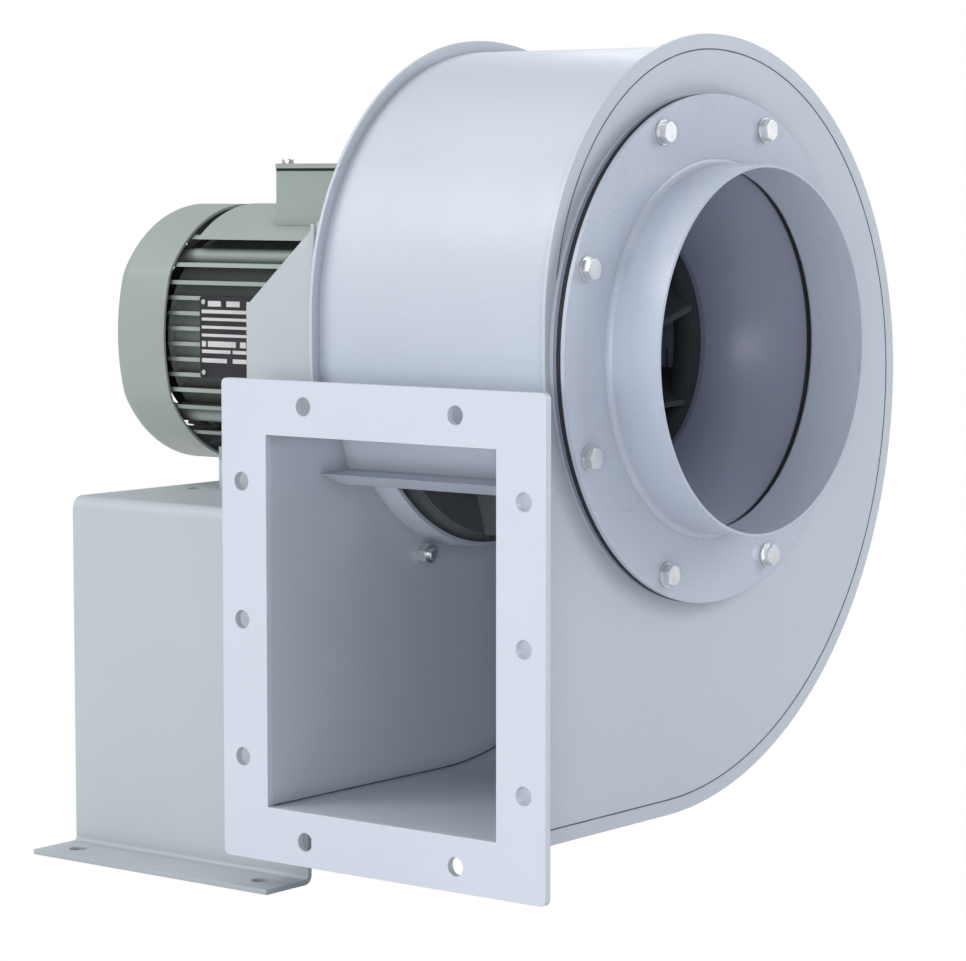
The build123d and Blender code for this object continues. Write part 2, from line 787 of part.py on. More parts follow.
def wheel_blades():
    """Flat blades that lean backwards, cut aslant towards the eye."""
    near = backplate_x + backplate_thickness
    inner, inner_start, inner_end = shroud_arc(shroud_inner, 0)
    space = turned([
        inner,
        Line(inner_end, (near, wheel_radius)),
        Line((near, wheel_radius), (near, blade_root_radius)),
        Line((near, blade_root_radius), (blade_slant_x, blade_root_radius)),
        Line((blade_slant_x, blade_root_radius), inner_start),
    ])
    blades = []
    for i in range(blade_count):
        turn = blade_root_angle + 360 / blade_count * i
        start = polar(blade_root_radius, turn)
        finish = polar(wheel_radius, turn + blade_sweep)
        length = hypot(finish[0] - start[0], finish[1] - start[1])
        lean = degrees(atan2(finish[1] - start[1], finish[0] - start[0]))
        middle = Pos((start[0] + finish[0]) / 2, (start[1] + finish[1]) / 2)
        flat = middle * Rot(Z=lean) * Rectangle(length + 2 * blade_thickness, blade_thickness)
        blades.append(slab(flat, near, blade_front_x) & space)
    return group(blades)


def wheel_hub():
    """Hub with a flange for the backplate and a keyed bore."""
    flange_x = backplate_x - hub_flange_thickness
    body = ring(hub_drive_end, flange_x, hub_radius)
    body += ring(flange_x, backplate_x, hub_flange_radius)
    body += ring(backplate_x, shaft_tip, hub_nose_radius)
    body = chamfer(body.faces().sort_by(Axis.X)[0].outer_wire().edges(), hub_chamfer)
    body -= ring(hub_drive_end, shaft_tip, shaft_extension_radius + fit)
    body -= key_space(hub_drive_end, shaft_tip, fit)
    for i in range(rivet_count):
        hole = Pos(*polar(rivet_circle, 360 / rivet_count * i)) * Circle(rivet_radius)
        body -= slab(hole, flange_x, backplate_x)
    for hole in set_screw_rods(set_screw_radius):
        body -= hole
    return body


def key_space(x_start, x_end, gap):
    """Space of the key, half in the shaft and half in the hub."""
    return block(x_start, x_end, -key_width / 2 - gap, key_width / 2 + gap,
                 shaft_extension_radius - key_depth - gap, shaft_extension_radius + key_depth + gap)


def set_screw_rods(radius):
    """Two radial rods a quarter turn apart in the hub's drive end."""
    x = hub_drive_end + 3 * set_screw_radius
    rods = []
    for angle in (180, 270):
        rod = extrude(Plane.YZ * Circle(radius), hub_radius - shaft_extension_radius - fit)
        place = at(x, *polar(shaft_extension_radius + fit, angle))
        rods.append(place * Rot(X=angle) * Rot(Z=90) * rod)
    return rods


def hub_set_screws():
    """Two socket screws that lock the hub on the shaft."""
    return group(set_screw_rods(set_screw_radius - fit))


def hub_rivets():
    """Rivets that hold the backplate to the hub."""
    near = backplate_x - hub_flange_thickness
    far = backplate_x + backplate_thickness
    rivets = []
    for i in range(rivet_count):
        place = Pos(*polar(rivet_circle, 360 / rivet_count * i))
        rivet = slab(place * Circle(rivet_radius - fit), near - rivet_radius / 2, far + rivet_radius / 2)
        rivet += slab(place * Circle(2 * rivet_radius), far, far + rivet_radius / 2)
        rivets.append(rivet)
    return group(rivets)


def shaft_key():
    """Square key between the shaft and the hub."""
    return key_space(shaft_tip - key_length, shaft_tip, 0)


def wheel_washer():
    """Washer on the end of the shaft that keeps the hub in place."""
    return ring(shaft_tip, shaft_tip + retainer_thickness, wheel_washer_radius, bolt_radius + fit)


def wheel_screw():
    """Screw in the end of the shaft."""
    seat = shaft_tip + retainer_thickness
    return at(seat, 0, 0) * bolt(4 * bolt_radius)


def motor_shaft():
    """Stepped shaft from the cooling fan to the wheel."""
    fan_end = fan_left - retainer_thickness
    rear_seat = rear_bearing_x + rear_bearing_width
    front_seat = drive_bearing_x
    body = ring(fan_end, rear_bearing_x, fan_seat_radius)
    body += ring(rear_bearing_x, rear_seat, rear_bearing_bore)
    body += ring(rear_seat, front_seat, shaft_body_radius)
    body += ring(front_seat, motor_face_x, drive_bearing_bore)
    body += ring(motor_face_x, shaft_tip, shaft_extension_radius)
    body -= key_space(shaft_tip - key_length, shaft_tip, 0)
    body -= ring(shaft_tip - 4 * bolt_radius - fit, shaft_tip, bolt_radius + fit)
    return body


def rotor_core():
    """Laminated core pressed on the shaft."""
    return ring(stack_left, stack_left + stack_length, rotor_radius, shaft_body_radius)


def rotor_cage_rings():
    """Cast end rings of the rotor cage."""
    far = stack_left + stack_length
    left = ring(stack_left - cage_ring_length, stack_left, rotor_radius - cage_step, cage_ring_inner)
    right = ring(far, far + cage_ring_length, rotor_radius - cage_step, cage_ring_inner)
    return group([left, right])


def stator_core():
    """Laminated ring pressed in the motor frame."""
    return ring(stack_left, stack_left + stack_length, frame_bore_radius, rotor_radius + air_gap)


def stator_windings():
    """End turns of the windings on both sides of the core."""
    far = stack_left + stack_length
    turns = []
    for x, last in ((stack_left - winding_overhang, 0), (far, -1)):
        end = ring(x, x + winding_overhang, winding_outer, winding_inner)
        outer_face = end.faces().sort_by(Axis.X)[last]
        turns.append(fillet(outer_face.edges(), winding_round))
    return group(turns)


def flattened(radius, flat):
    """A circle with two flat sides."""
    return Circle(radius) & Rectangle(2 * flat, 2 * radius)


def fin_heights():
    """Heights of the fins above the shaft line."""
    return [fin_first + fin_pitch * i for i in range(fins_per_side)] + list(outer_fins)


def motor_bolt_places():
    """Places of the four foot bolts."""
    return [(x, y) for x in foot_holes_x for y in (-foot_hole_spacing_y / 2, foot_hole_spacing_y / 2)]


def motor_feet():
    """Two feet under the frame with a leg up to the barrel."""
    feet = []
    for side in (-1, 1):
        near, far = sorted((side * foot_inner_y, side * (foot_inner_y + foot_width)))
        pad = block(foot_left, foot_right, near, far, motor_base, motor_base + foot_thickness)
        leg = make_face(Polyline((side * foot_inner_y, motor_base),
                                 (side * (foot_inner_y + foot_leg_width), motor_base),
                                 (side * leg_outer_end[0], leg_outer_end[1]),
                                 (side * leg_inner_end[0], leg_inner_end[1]), close=True))
        feet.append(pad + slab(leg, foot_left, foot_right))
    return feet


def motor_frame():
    """Finned barrel with a smooth crown, end bosses and feet."""
    fins = Sketch()
    for z in fin_heights():
        for side in (-1, 1):
            fins += Pos(0, side * z) * Rectangle(4 * frame_core_radius, fin_thickness)
    section = (fins & flattened(fin_envelope_radius, fin_envelope_flat)) + Circle(frame_core_radius)
    for angle in corner_angles:
        section += Pos(*polar(boss_circle, angle)) * Circle(boss_radius)
    body = slab(section, frame_left, frame_right)
    crown_base = outer_fins[-1] - fin_thickness / 2
    above = Pos(0, crown_base + crown_radius / 2) * Rectangle(2 * crown_radius, crown_radius)
    crown = (Circle(crown_radius) - Circle(crown_radius - crown_wall)) & above
    base = Pos(0, outer_fins[-1]) * Rectangle(4 * crown_radius, fin_thickness)
    crown += Circle(crown_radius) & above & base
    for y in (-crown_rib_y, 0, crown_rib_y):
        rib = Pos(y, crown_radius / 2) * Rectangle(crown_wall, crown_radius)
        crown += Circle(crown_radius - crown_wall / 2) & above & rib
    body += slab(crown, crown_left, frame_right)
    for foot in motor_feet():
        body += foot
    body -= ring(frame_left, frame_right, frame_bore_radius)
    for x, y in motor_bolt_places():
        body -= upright_rod(bolt_hole_radius, x, y, motor_base, motor_base + foot_thickness)
    return body


def drive_end_bell():
    """Cast cover at the drive end, which carries the front bearing."""
    lug = Sketch()
    for angle in corner_angles:
        lug += Pos(*polar(boss_circle, angle)) * Circle(boss_radius)
    rim = frame_right + drive_bell_rim
    body = turned([(frame_right, 0), (frame_right, frame_core_radius), (rim, frame_core_radius),
                   (rim + drive_bell_slope, drive_bell_shoulder), (motor_face_x, drive_bell_boss),
                   (motor_face_x, 0)])
    body += slab(lug, frame_right, rim)
    body -= ring(drive_bearing_x, drive_bearing_x + drive_bearing_width, drive_bearing_outside)
    body -= ring(frame_right, drive_bearing_x, drive_bearing_outside - bearing_ledge)
    body -= ring(frame_right, motor_face_x, drive_bearing_bore + bell_bore_gap)
    return body


def rear_end_bell():
    """Cast cover at the rear, with the rear bearing and four posts for the cowl."""
    face = frame_left
    rim = face - rear_bell_rim
    back = rear_bearing_x - bearing_ledge
    body = turned([(face, 0), (face, frame_core_radius), (rim, frame_core_radius),
                   (rim - rear_bell_slope, rear_bell_shoulder), (back, rear_bell_boss), (back, 0)])
    for angle in corner_angles:
        body += slab(Pos(*polar(boss_circle, angle)) * Circle(boss_radius), rim, face)
        post = Pos(*polar(boss_circle, angle)) * Circle(post_radius)
        body += slab(post, cowl_left + cowl_sheet, face)
    body -= ring(rear_bearing_x, face, rear_bearing_outside)
    body -= ring(back, face, rear_bearing_bore + bell_bore_gap)
    for angle in corner_angles:
        hole = Pos(*polar(boss_circle, angle)) * Circle(seal_screw_radius)
        body -= slab(hole, cowl_left + cowl_sheet, cowl_left + cowl_sheet + post_hole_depth)
    return body


def bell_bolts():
    """Four bolts that clamp the drive end bell to the frame."""
    bolts = []
    for angle in corner_angles:
        y, z = polar(boss_circle, angle)
        place = at(frame_right + drive_bell_rim, y, z) * Rot(X=angle)
        bolts.append(place * hex_prism(bell_bolt_flats, bell_bolt_head))
    return group(bolts)


def cowl_section(inset):
    """Round outline with flatter sides and eased corners, set in by a thickness."""
    shift = cowl_side_curve - cowl_half_width
    section = Circle(cowl_radius - inset)
    for centre in (-shift, shift):
        section &= Pos(centre, 0) * Circle(cowl_side_curve - inset)
    return fillet(section.vertices(), cowl_corner - inset)


def fan_cowl():
    """Pressed cover with flatter sides and a grille of curved slots at the rear."""
    outside = slab(cowl_section(0), cowl_left, cowl_right)
    inside = slab(cowl_section(cowl_sheet), cowl_left + cowl_sheet, cowl_right)
    outside = fillet(outside.faces().sort_by(Axis.X)[0].edges(), cowl_edge)
    inside = fillet(inside.faces().sort_by(Axis.X)[0].edges(), cowl_edge - cowl_sheet)
    body = outside - inside
    spokes = Sketch()
    for i in range(grille_spokes // 2):
        spokes += Rot(Z=360 / grille_spokes * (i + 0.5)) * Rectangle(4 * cowl_radius, grille_spoke_width)
    for i in range(grille_rings):
        middle = grille_first + grille_pitch * i
        slot = Circle(middle + grille_slot / 2) - Circle(middle - grille_slot / 2) - spokes
        body -= slab(slot, cowl_left, cowl_left + cowl_sheet)
    for angle in corner_angles:
        hole = Pos(*polar(boss_circle, angle)) * Circle(seal_screw_radius)
        body -= slab(hole, cowl_left, cowl_left + cowl_sheet)
    return body


def cowl_screws():
    """Four screws through the rear of the cowl into its posts."""
    tip = cowl_left + cowl_sheet + post_hole_depth - screw_end_gap
    screws = []
    for angle in corner_angles:
        place = Pos(*polar(boss_circle, angle))
        shank = slab(place * Circle(seal_screw_radius - fit), cowl_left, tip)
        head = slab(place * Circle(lid_screw_head), cowl_left - lid_screw_height, cowl_left)
        head = fillet(head.faces().sort_by(Axis.X)[0].edges(), screw_head_round)
        screws.append(shank + head)
    return group(screws)


def cooling_fan():
    """Radial fan that blows air over the fins."""
    far = fan_left + fan_length
    blades = Circle(fan_hub_radius)
    for i in range(fan_blades):
        blade = Pos(fan_radius / 2, 0) * Rectangle(fan_radius, fan_web_thickness)
        blades += Rot(Z=360 / fan_blades * i) * blade
    bore = Circle(fan_seat_radius + fit)
    body = slab((blades & Circle(fan_radius)) - bore, fan_left, far - fan_web_thickness)
    return body + slab(Circle(fan_radius) - bore, far - fan_web_thickness, far)


def race_radii(bore, outside):
    """Radius of the balls and of the circle they run on."""
    return (outside - bore) * ball_share, (outside + bore) / 2


def bearing_outer(x, bore, outside, width):
    """Outer race, grooved for its balls."""
    ball, pitch = race_radii(bore, outside)
    return ring(x, x + width, outside, pitch + ball * shoulder_share) - ball_track(x, bore, outside, width)


def bearing_inner(x, bore, outside, width):
    """Inner race, grooved for its balls."""
    ball, pitch = race_radii(bore, outside)
    return ring(x, x + width, pitch - ball * shoulder_share, bore) - ball_track(x, bore, outside, width)


def ball_track(x, bore, outside, width):
    """Ring shaped space that the balls run in."""
    ball, pitch = race_radii(bore, outside)
    circle = Pos(x + width / 2, pitch) * Circle(ball + running_fit)
    return revolve(side_view * circle, axis=shaft_axis)


def bearing_balls():
    """Balls of both bearings."""
    balls = []
    for x, bore, outside, width in (drive_bearing, rear_bearing):
        ball, pitch = race_radii(bore, outside)
        for i in range(ball_count):
            y, z = polar(pitch, 360 / ball_count * i)
            balls.append(at(x + width / 2, y, z) * Sphere(ball))
    return group(balls)


def motor_riser_bars():
    """Two bars that lift the motor feet to the shaft height."""
    bars = []
    for side in (-1, 1):
        near, far = sorted((side * foot_inner_y, side * (foot_inner_y + foot_width)))
        bar = block(foot_left, foot_right, near, far, pedestal_top, motor_base)
        for x, y in motor_bolt_places():
            bar -= upright_rod(bolt_hole_radius, x, y, pedestal_top, motor_base)
        bars.append(bar)
    return group(bars)


def motor_bolts():
    """Four bolts through the feet, the bars and the pedestal."""
    length = foot_thickness + motor_base - pedestal_top + pedestal_sheet + nut_height + thread_left_over
    seat = motor_base + foot_thickness
    return group(at(x, y, seat) * Rot(Y=-90) * bolt(length) for x, y in motor_bolt_places())


def motor_nuts():
    """Nuts under the top of the pedestal."""
    seat = pedestal_top - pedestal_sheet - nut_height
    return group(at(x, y, seat) * Rot(Y=-90) * nut() for x, y in motor_bolt_places())


def conduit_box():
    """Connection box seated on the crown of the frame."""
    base = crown_radius / 2
    body = block(box_left, box_right, -box_half_depth, box_half_depth, base, box_top)
    hollow = block(box_left + box_wall, box_right - box_wall, box_wall - box_half_depth,
                   box_half_depth - box_wall, base, box_top)
    body -= hollow - ring(box_left, box_right, crown_radius + box_wall)
    for x, y in lid_screw_places():
        body += upright_rod(2 * lid_screw_radius, x, y, base, box_top)
        body -= upright_rod(lid_screw_radius, x, y, box_top - lid_screw_length, box_top)
    body -= ring(box_left, box_right, crown_radius)
    entry = Cylinder(entry_radius, box_wall, align=(Align.CENTER, Align.CENTER, Align.MIN))
    return body - at((box_left + box_right) / 2, box_half_depth, entry_height) * Rot(X=90) * entry


def lid_screw_places():
    """Corners of the lid where its screws go."""
    return [(x, y) for x in (box_left + lid_screw_inset, box_right - lid_screw_inset)
            for y in (lid_screw_inset - box_half_depth, box_half_depth - lid_screw_inset)]


def conduit_box_gasket():
    """Thin dark gasket under the lid."""
    body = block(box_left, box_right, -box_half_depth, box_half_depth, box_top, box_top + box_gasket)
    body -= block(box_left + 3 * box_wall, box_right - 3 * box_wall, 3 * box_wall - box_half_depth,
                  box_half_depth - 3 * box_wall, box_top, box_top + box_gasket)
    for x, y in lid_screw_places():
        body -= upright_rod(lid_screw_radius, x, y, box_top, box_top + box_gasket)
    return body


def conduit_box_lid():
    """Flat lid, a little larger than its box."""
    seat = box_top + box_gasket
    body = block(box_left - lid_overhang, box_right + lid_overhang, -box_half_depth - lid_overhang,
                 box_half_depth + lid_overhang, seat, seat + lid_thickness)
    body = fillet(body.edges().filter_by(Axis.Z), lid_corner)
    for x, y in lid_screw_places():
        body -= upright_rod(lid_screw_radius, x, y, seat, seat + lid_thickness)
    return body


def conduit_lid_screws():
    """Four screws at the corners of the lid."""
    seat = box_top + box_gasket + lid_thickness
    tip = box_top - lid_screw_length + screw_end_gap
    screws = []
    for x, y in lid_screw_places():
        head = upright_rod(lid_screw_head, x, y, seat, seat + lid_screw_height)
        head = fillet(head.faces().sort_by(Axis.Z)[-1].edges(), screw_head_round)
        screws.append(head + upright_rod(lid_screw_radius - fit, x, y, tip, seat))
    return group(screws)


def nameplate():
    """Bare plate riveted across the edges of the fins."""
    near = -fin_envelope_flat - plate_thickness
    body = block(plate_left, plate_left + plate_length, near, -fin_envelope_flat,
                 -plate_half_height, plate_half_height)
    return fillet(body.edges().filter_by(Axis.Y), plate_corner)


def nameplate_rivets():
    """Four rivets at the corners of the plate."""
    rivets = []
    for x in (plate_left + plate_rivet_inset, plate_left + plate_length - plate_rivet_inset):
        for z in (plate_rivet_inset - plate_half_height, plate_half_height - plate_rivet_inset):
            head = extrude(Circle(plate_rivet_radius), plate_rivet_height)
            rivets.append(at(x, -fin_envelope_flat - plate_thickness, z) * Rot(X=90) * head)
    return group(rivets)


nodes = {
    "pedestal": pedestal(),
    "mounting_plate": mounting_plate(),
    "gusset_front": gusset(-1),
    "gusset_rear": gusset(1),
    "scroll_wrapper": scroll_wrapper(),
    "drive_side_plate": drive_side_plate(),
    "inlet_side_plate": inlet_side_plate(),
    "outlet_roof": outlet_roof(),
    "cutoff_lip": cutoff_lip(),
    "outlet_flange": outlet_flange(),
    "drive_inner_ring": drive_inner_ring(),
    "drive_bolts": drive_bolts(),
    "drive_nuts": drive_nuts(),
    "inlet_backing_ring": inlet_backing_ring(),
    "inlet_ring": inlet_ring(),
    "inlet_collar": inlet_collar(),
    "inlet_gasket": inlet_gasket(),
    "inlet_cone": inlet_cone(),
    "inlet_bolts": inlet_bolts(),
    "inlet_washers": inlet_washers(),
    "inlet_nuts": inlet_nuts(),
    "shaft_seal_felt": shaft_seal_felt(),
    "seal_retainer": seal_retainer(),
    "seal_screws": seal_screws(),
    "wheel_backplate": wheel_backplate(),
    "wheel_blades": wheel_blades(),
    "wheel_shroud": wheel_shroud(),
    "wheel_hub": wheel_hub(),
    "hub_set_screws": hub_set_screws(),
    "hub_rivets": hub_rivets(),
    "shaft_key": shaft_key(),
    "wheel_washer": wheel_washer(),
    "wheel_screw": wheel_screw(),
    "motor_shaft": motor_shaft(),
    "rotor_core": rotor_core(),
    "rotor_cage_rings": rotor_cage_rings(),
    "stator_core": stator_core(),
    "stator_windings": stator_windings(),
    "motor_frame": motor_frame(),
    "drive_end_bell": drive_end_bell(),
    "rear_end_bell": rear_end_bell(),
    "bell_bolts": bell_bolts(),
    "fan_cowl": fan_cowl(),
    "cowl_screws": cowl_screws(),
    "cooling_fan": cooling_fan(),
    "drive_bearing_outer": bearing_outer(*drive_bearing),
    "drive_bearing_inner": bearing_inner(*drive_bearing),
    "rear_bearing_outer": bearing_outer(*rear_bearing),
    "rear_bearing_inner": bearing_inner(*rear_bearing),
    "bearing_balls": bearing_balls(),
    "motor_riser_bars": motor_riser_bars(),
    "motor_bolts": motor_bolts(),
    "motor_nuts": motor_nuts(),
    "conduit_box": conduit_box(),
    "conduit_box_gasket": conduit_box_gasket(),
    "conduit_box_lid": conduit_box_lid(),
    "conduit_lid_screws": conduit_lid_screws(),
    "nameplate": nameplate(),
    "nameplate_rivets": nameplate_rivets(),
}

os.makedirs("parts", exist_ok=True)
for name, solid in nodes.items():
    export_step(solid, os.path.join("parts", name + ".step"))
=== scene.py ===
import bpy
import random
from math import cos, pi, radians, sin
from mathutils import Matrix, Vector
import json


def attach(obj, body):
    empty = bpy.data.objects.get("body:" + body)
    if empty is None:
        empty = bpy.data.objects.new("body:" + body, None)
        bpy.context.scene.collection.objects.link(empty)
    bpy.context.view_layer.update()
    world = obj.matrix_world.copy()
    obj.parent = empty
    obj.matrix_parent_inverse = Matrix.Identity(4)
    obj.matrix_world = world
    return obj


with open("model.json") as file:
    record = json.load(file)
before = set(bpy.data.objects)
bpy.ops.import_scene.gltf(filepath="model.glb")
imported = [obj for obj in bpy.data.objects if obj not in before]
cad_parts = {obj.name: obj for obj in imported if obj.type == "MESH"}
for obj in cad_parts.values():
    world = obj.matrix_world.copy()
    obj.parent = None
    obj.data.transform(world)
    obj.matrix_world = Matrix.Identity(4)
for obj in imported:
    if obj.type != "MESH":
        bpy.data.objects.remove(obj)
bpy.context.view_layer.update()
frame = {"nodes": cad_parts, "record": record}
nodes = frame["nodes"]
record_slots = {row["node"]: row["material_slot"] for row in frame["record"]["subparts"]}
MM = 0.001
SHAFT = 0.362

# Sizes in millimetres, with heights from the shaft

DRIVE_INNER_X = 113.0
DRIVE_SIDE_X = 110.5
HOUSING_RIGHT = 307.5
SHEET_FRONT = -217.0
SCROLL_FLOOR = -302.0
SHADOW_LINE_RADIUS = 0.45
SHADOW_LINE_STEP = 3.0
ARC_STEPS = 30
GUSSET_FACE_Y = 164.0
GUSSET_LEFT = 46.0
MOUNTING_PLATE_FACE_X = 105.3
PEDESTAL_SEAM_Z = -110.4
GUSSET_WELD_Z = (-106.0, 84.0)
GUSSET_FOOT_RIGHT = 105.0
FLANGE_LEG_END_Y = -183.2
FLANGE_WELD_RADIUS = 1.9
FLANGE_WELD_Z = (-300.0, -58.0)
ROOF_WELD_X = (112.0, 306.0)
ROOF_WELD_Z = -51.0
FIELD_ROOT = 0.05
FIELD_RISE = 0.12

# The photograph's camera

CAMERA_PLACE = (1.5651, -1.8488, 0.4758)
CAMERA_DOWN = 5.193
CAMERA_ROUND = 37.989
FOCAL_LENGTH_PIXELS = 3315.4
PHOTO_WIDTH = 966
SENSOR_WIDTH = 36.0


# Materials

def new_material(name):
    material = bpy.data.materials.new(name)
    material.use_nodes = True
    tree = material.node_tree
    tree.nodes.clear()
    output = tree.nodes.new("ShaderNodeOutputMaterial")
    shader = tree.nodes.new("ShaderNodeBsdfPrincipled")
    tree.links.new(shader.outputs["BSDF"], output.inputs["Surface"])
    return material, tree, shader


def make(tree, kind, **values):
    node = tree.nodes.new(kind)
    for key, value in values.items():
        if hasattr(node, key):
            setattr(node, key, value)
        else:
            node.inputs[key].default_value = value
    return node


def noise(tree, place, scale, detail=2.0, rough=0.5, **more):
    node = make(tree, "ShaderNodeTexNoise", Scale=scale, Detail=detail, Roughness=rough, **more)
    tree.links.new(place, node.inputs["Vector"])
    return node.outputs["Fac"]


def remap(tree, value, low, high, to_low=0.0, to_high=1.0):
    node = tree.nodes.new("ShaderNodeMapRange")
    node.inputs["From Min"].default_value = low
    node.inputs["From Max"].default_value = high
    node.inputs["To Min"].default_value = to_low
    node.inputs["To Max"].default_value = to_high
    tree.links.new(value, node.inputs["Value"])
    return node.outputs["Result"]


def math(tree, kind, a, b=None):
    node = make(tree, "ShaderNodeMath", operation=kind)
    for socket, value in zip(node.inputs, (a, b)):
        if value is None:
            continue
        if isinstance(value, (int, float)):
            socket.default_value = value
        else:
            tree.links.new(value, socket)
    return node.outputs[0]


def mix(tree, fac, a, b, blend="MIX"):
    node = make(tree, "ShaderNodeMix", data_type="RGBA", blend_type=blend)
    for socket, value in ((node.inputs[0], fac), (node.inputs[6], a), (node.inputs[7], b)):
        if isinstance(value, (int, float)):
            socket.default_value = value
        elif isinstance(value, tuple):
            socket.default_value = (*value, 1.0)
        else:
            tree.links.new(value, socket)
    return node.outputs[2]


def place_of(tree):
    return tree.nodes.new("ShaderNodeTexCoord").outputs["Object"]


def edge_mask(tree, radius):
    """Rounded normal and a mask of the edges, from the bevel node."""
    bevel = make(tree, "ShaderNodeBevel", samples=6)
    bevel.inputs["Radius"].default_value = radius
    flat = tree.nodes.new("ShaderNodeNewGeometry")
    dot = make(tree, "ShaderNodeVectorMath", operation="DOT_PRODUCT")
    tree.links.new(bevel.outputs[0], dot.inputs[0])
    tree.links.new(flat.outputs["Normal"], dot.inputs[1])
    return bevel.outputs[0], remap(tree, dot.outputs["Value"], 0.995, 0.86)


# Ambient occlusion mask for painted shade: strongest in corners, creases and gaps between parts.
def crevice_shade(tree, distance):
    shade = make(tree, "ShaderNodeAmbientOcclusion", samples=6)
    shade.inputs["Distance"].default_value = distance
    return remap(tree, shade.outputs["AO"], 0.35, 0.95, 1.0, 0.0)


def painted(name, color, rough=0.38, mottle=0.05, peel=0.10, peel_scale=420.0, speck=0.05,
            crevice_shade_amount=0.35, crevice_shade_color=(0.10, 0.11, 0.12), edge=0.10):
    """Baked paint: orange peel, faint mottle and specks, painted shade in the corners, and edges lightened by
    paint wear and a painted highlight.
    """
    material, tree, shader = new_material(name)
    place = place_of(tree)
    normal, edges = edge_mask(tree, 0.0006)
    broad = noise(tree, place, 9.0, 3.0)
    fine = noise(tree, place, peel_scale, 2.0)
    grains = noise(tree, place, 1400.0, 1.0)
    dark = tuple(c * (1 - mottle) for c in color)
    light = tuple(min(1.0, c * (1 + mottle)) for c in color)
    tone = mix(tree, remap(tree, broad, 0.3, 0.7), dark, light)
    specks = remap(tree, grains, 0.62, 0.72)
    tone = mix(tree, math(tree, "MULTIPLY", specks, speck), tone, tuple(c * 0.55 for c in color))
    pale = remap(tree, grains, 0.38, 0.28)
    glints = tuple(min(1.0, c * 1.35) for c in color)
    tone = mix(tree, math(tree, "MULTIPLY", pale, speck * 1.6), tone, glints)
    # Edges lightened towards pale blue-white: part paint wear, part painted highlight.
    breakup = remap(tree, noise(tree, place, 60.0, 4.0), 0.35, 0.7)
    wear_and_highlight = math(tree, "MULTIPLY", math(tree, "MULTIPLY", edges, breakup), edge)
    tone = mix(tree, wear_and_highlight, tone, (0.90, 0.92, 0.96))
    # Painted shade: the colour darkens towards the shade colour in corners and crevices.
    crevice_shade_mix = math(tree, "MULTIPLY", crevice_shade(tree, 0.012), crevice_shade_amount)
    tone = mix(tree, crevice_shade_mix, tone, crevice_shade_color)
    tree.links.new(tone, shader.inputs["Base Color"])
    roughness = remap(tree, noise(tree, place, 35.0, 3.0), 0.3, 0.7, rough - 0.06, rough + 0.08)
    tree.links.new(roughness, shader.inputs["Roughness"])
    bump = tree.nodes.new("ShaderNodeBump")
    bump.inputs["Strength"].default_value = peel
    bump.inputs["Distance"].default_value = 0.0004
    tree.links.new(fine, bump.inputs["Height"])
    tree.links.new(normal, bump.inputs["Normal"])
    tree.links.new(bump.outputs["Normal"], shader.inputs["Normal"])
    return material


def metal(name, color, rough=0.28, stretch=(1.0, 1.0, 1.0), scratch=0.12, crevice_shade_amount=0.5):
    """Plated or machined metal: fine directional marks, cloudy plating, a painted highlight on the edges and
    painted shade in the corners.
    """
    material, tree, shader = new_material(name)
    mapping = tree.nodes.new("ShaderNodeMapping")
    mapping.inputs["Scale"].default_value = stretch
    place = place_of(tree)
    tree.links.new(place, mapping.inputs["Vector"])
    normal, edges = edge_mask(tree, 0.0004)
    marks = noise(tree, mapping.outputs[0], 900.0, 3.0)
    cloud = noise(tree, place, 120.0, 3.0)
    dull_patch = tuple(a * b for a, b in zip(color, (0.84, 0.86, 0.83)))
    tone = mix(tree, remap(tree, cloud, 0.35, 0.7), color, dull_patch)
    # Painted highlight: the edges are lightened towards near white.
    tone = mix(tree, math(tree, "MULTIPLY", edges, 0.3), tone, (0.95, 0.95, 0.93))
    # Painted shade: darker in the corners and crevices.
    tone = mix(tree, math(tree, "MULTIPLY", crevice_shade(tree, 0.004), crevice_shade_amount), tone, (0.05, 0.05, 0.05))
    tree.links.new(tone, shader.inputs["Base Color"])
    shader.inputs["Metallic"].default_value = 1.0
    tree.links.new(remap(tree, marks, 0.3, 0.7, rough - 0.08, rough + 0.12), shader.inputs["Roughness"])
    bump = tree.nodes.new("ShaderNodeBump")
    bump.inputs["Strength"].default_value = scratch
    bump.inputs["Distance"].default_value = 0.0002
    tree.links.new(marks, bump.inputs["Height"])
    tree.links.new(normal, bump.inputs["Normal"])
    tree.links.new(bump.outputs["Normal"], shader.inputs["Normal"])
    return material


def dull(name, color, rough=0.7, grain=600.0, depth=0.3, vary=0.25, crevice_shade_amount=0.3):
    """Rubber, felt, moulded plastic or varnish: even colour with grain, and painted shade in the corners."""
    material, tree, shader = new_material(name)
    place = place_of(tree)
    fine = noise(tree, place, grain, 3.0)
    broad = noise(tree, place, 40.0, 3.0)
    tone = mix(tree, remap(tree, broad, 0.3, 0.7), tuple(c * (1 - vary) for c in color),
               tuple(min(1.0, c * (1 + vary)) for c in color))
    # Painted shade: darker in corners and crevices.
    tone = mix(tree, math(tree, "MULTIPLY", crevice_shade(tree, 0.004), crevice_shade_amount), tone, tuple(c * 0.3 for c in color))
    tree.links.new(tone, shader.inputs["Base Color"])
    tree.links.new(remap(tree, broad, 0.3, 0.7, rough - 0.08, rough + 0.08), shader.inputs["Roughness"])
    bump = tree.nodes.new("ShaderNodeBump")
    bump.inputs["Strength"].default_value = depth
    bump.inputs["Distance"].default_value = 0.0004
    tree.links.new(fine, bump.inputs["Height"])
    tree.links.new(bump.outputs["Normal"], shader.inputs["Normal"])
    return material


